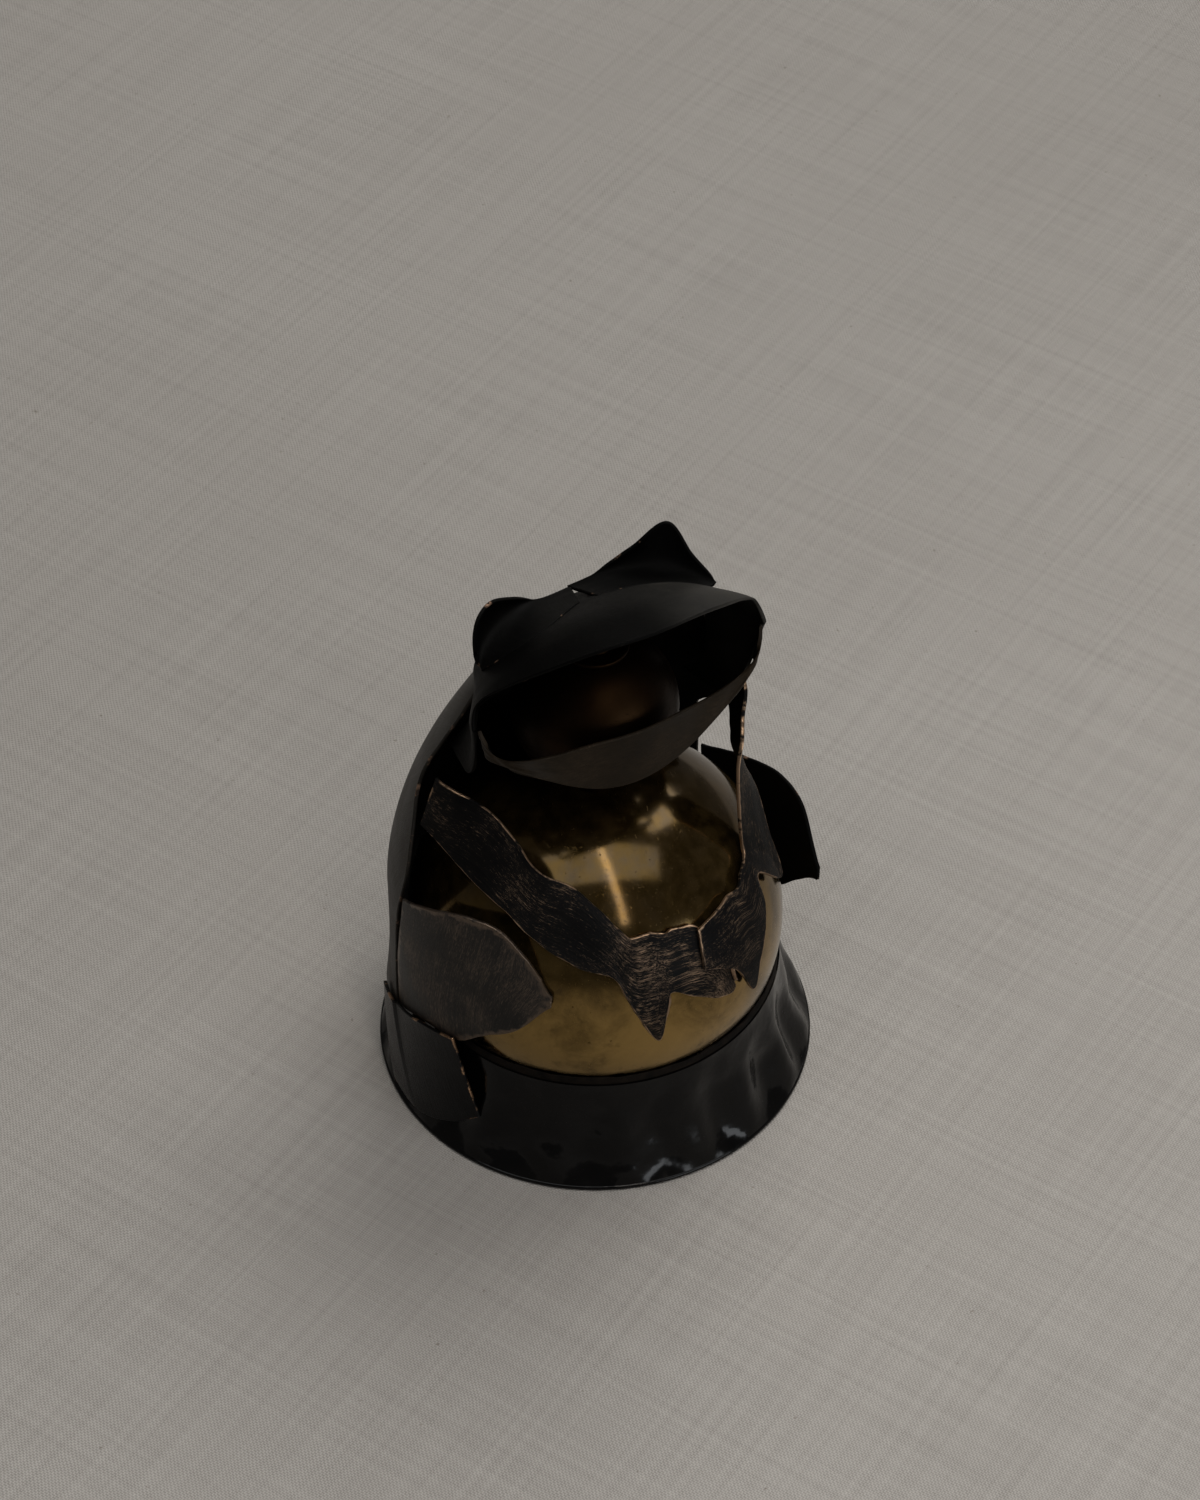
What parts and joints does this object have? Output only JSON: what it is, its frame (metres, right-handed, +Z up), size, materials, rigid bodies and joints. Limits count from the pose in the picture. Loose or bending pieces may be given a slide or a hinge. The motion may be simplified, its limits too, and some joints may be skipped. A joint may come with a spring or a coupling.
{
  "type": "miniature oil lamp",
  "caption": "Frog of cut and folded sheet metal hugging a round brass oil font on a fluted base; the font's upper bulb and its lift-out wick burner stand in the open mouth.",
  "frame": {"origin": "centre of the base's rim, on the surface that the lamp stands on", "axes": "+Z up through the font and the burner; the frog faces -Y; its right side is -X"},
  "size_m": [0.0588, 0.0588, 0.0872],
  "materials": {
    "enamel": "glossy black enamel on pressed steel",
    "brass": "polished, with fine scratches and a brown tarnish",
    "solder": "dull, darkened solder",
    "cotton": "round braided cotton",
    "blackened_copper": "black-brown patina on copper sheet, brushed and worn through to copper at edges and scratches"
  },
  "bodies": {
    "lamp": {"base_skirt": "enamel", "base_hem": "enamel", "font_lower_shell": "brass", "font_upper_shell": "brass", "neck_collar": "brass", "bulb_lower_cup": "brass", "bulb_upper_cap": "brass", "font_solder_ring": "solder", "burner_seat": "brass", "back_shell": "blackened_copper", "head_hood": "blackened_copper", "lower_jaw": "blackened_copper", "right_eye": "blackened_copper", "left_eye": "blackened_copper", "right_arm": "blackened_copper", "left_arm": "blackened_copper", "right_haunch": "blackened_copper", "left_haunch": "blackened_copper", "right_foot": "blackened_copper", "left_foot": "blackened_copper"},
    "burner": {"burner_plug": "brass", "wick_tube": "brass"},
    "wick": {"wick": "cotton"}
  },
  "joints": [
    {"name": "burner_lift", "type": "slide", "parent": "lamp", "child": "burner", "axis": [0, 0, 1], "range_m": [0, 0.0028]},
    {"name": "wick_feed", "type": "slide", "parent": "burner", "child": "wick", "axis": [0, 0, 1], "range_m": [-0.0008, 0.0008]}
  ]
}
